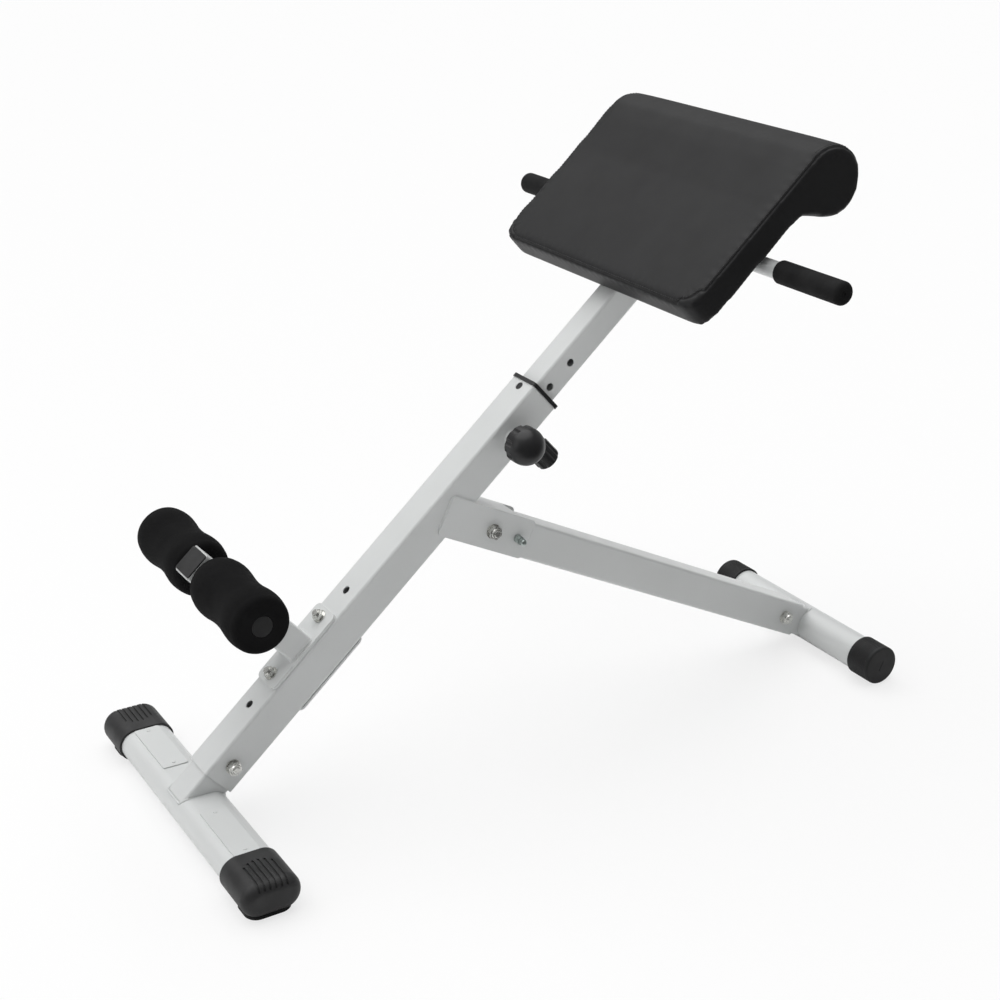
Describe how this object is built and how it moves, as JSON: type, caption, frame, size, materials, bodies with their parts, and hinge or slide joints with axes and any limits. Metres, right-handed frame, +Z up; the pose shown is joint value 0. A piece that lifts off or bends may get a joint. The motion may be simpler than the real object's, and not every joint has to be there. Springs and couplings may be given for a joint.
{
  "type": "roman chair",
  "caption": "Folding hyperextension bench: rear foot-plate base, leaning post with foam leg rollers, sliding hip pad with side handles, and a pinned front leg.",
  "frame": {"origin": "middle of the footprint, on the floor", "axes": "+X from the rear foot-plate base towards the front leg, +Y to the left-hand side, +Z up"},
  "size_m": [1.0542, 0.691, 0.8087],
  "materials": {
    "frame_paint": "satin",
    "zinc_steel": "satin",
    "black_plastic": "matte",
    "black_rubber": "matte",
    "roller_foam": "matte",
    "pad_cover": "satin",
    "pad_wood": "matte"
  },
  "bodies": {
    "frame": {"base_tube": "frame_paint", "base_stub": "frame_paint", "base_cap_right": "black_plastic", "base_cap_left": "black_plastic", "foot_pad_right": "black_rubber", "foot_pad_left": "black_rubber", "tread_plate_right": "frame_paint", "tread_plate_left": "frame_paint", "tread_screws": "frame_paint", "main_post": "frame_paint", "post_sleeve": "black_plastic", "post_bolt": "zinc_steel", "post_nut": "zinc_steel", "post_washers": "zinc_steel", "hinge_bracket": "frame_paint", "hinge_bolt": "zinc_steel", "hinge_nut": "zinc_steel", "hinge_washers": "zinc_steel", "roller_plate": "frame_paint", "backing_plate": "frame_paint", "roller_bolts": "zinc_steel", "roller_washers": "zinc_steel", "roller_nuts": "zinc_steel", "roller_post": "frame_paint", "roller_post_plug": "black_plastic", "roller_axle": "frame_paint", "axle_plug_right": "black_plastic", "axle_plug_left": "black_plastic", "pin_housing": "frame_paint", "clamp_nut": "frame_paint"},
    "leg": {"leg_tube": "frame_paint", "leg_stub": "frame_paint", "front_tube": "frame_paint", "front_cap_right": "black_rubber", "front_cap_left": "black_rubber", "leg_bolt": "zinc_steel", "leg_nut": "zinc_steel", "leg_washers": "zinc_steel"},
    "lock": {"lock_pin": "zinc_steel"},
    "seat": {"seat_tube": "frame_paint", "handle_bar": "frame_paint", "grip_right": "black_rubber", "grip_left": "black_rubber", "pad_plate": "frame_paint", "pad_board": "pad_wood", "pad_screws": "zinc_steel", "pad_cushion": "pad_cover"},
    "plunger": {"pin_plunger": "zinc_steel", "pin_knob": "black_plastic"},
    "clamp_shaft": {"clamp_screw": "zinc_steel"},
    "clamp_grip": {"clamp_knob": "black_plastic"},
    "roller_right": {"foam_roller_right": "roller_foam"},
    "roller_left": {"foam_roller_left": "roller_foam"}
  },
  "joints": [
    {"name": "seat_slide", "type": "slide", "parent": "frame", "child": "seat", "axis": [0.7478, 0, 0.6639], "range_m": [-0.1251, 0.0834]},
    {"name": "leg_fold", "type": "hinge", "parent": "frame", "child": "leg", "pos_m": [-0.06808, 0, 0.31435], "axis": [0, 1, 0], "range_deg": [0, 110]},
    {"name": "lock_pin_pull", "type": "slide", "parent": "frame", "child": "lock", "axis": [0, 1, 0], "range_m": [0, 0.076]},
    {"name": "pull_pin_push", "type": "slide", "parent": "frame", "child": "plunger", "axis": [0, 1, 0], "range_m": [0, 0.006]},
    {"name": "clamp_advance", "type": "slide", "parent": "frame", "child": "clamp_shaft", "axis": [0.6639, 0, -0.7478], "range_m": [0, 0.003]},
    {"name": "clamp_turn", "type": "hinge", "parent": "clamp_shaft", "child": "clamp_grip", "pos_m": [0.01499, 0, 0.40575], "axis": [0.6639, 0, -0.7478], "range_deg": [0, 720]},
    {"name": "roller_right_spin", "type": "hinge", "parent": "frame", "child": "roller_right", "pos_m": [-0.44873, -0.088, 0.33024], "axis": [0, 1, 0], "continuous": true},
    {"name": "roller_left_spin", "type": "hinge", "parent": "frame", "child": "roller_left", "pos_m": [-0.44873, 0.088, 0.33024], "axis": [0, 1, 0], "continuous": true}
  ],
  "couplings": [
    {"joint": "clamp_turn", "follows": "clamp_advance", "rad_per_m": 4188.8}
  ]
}
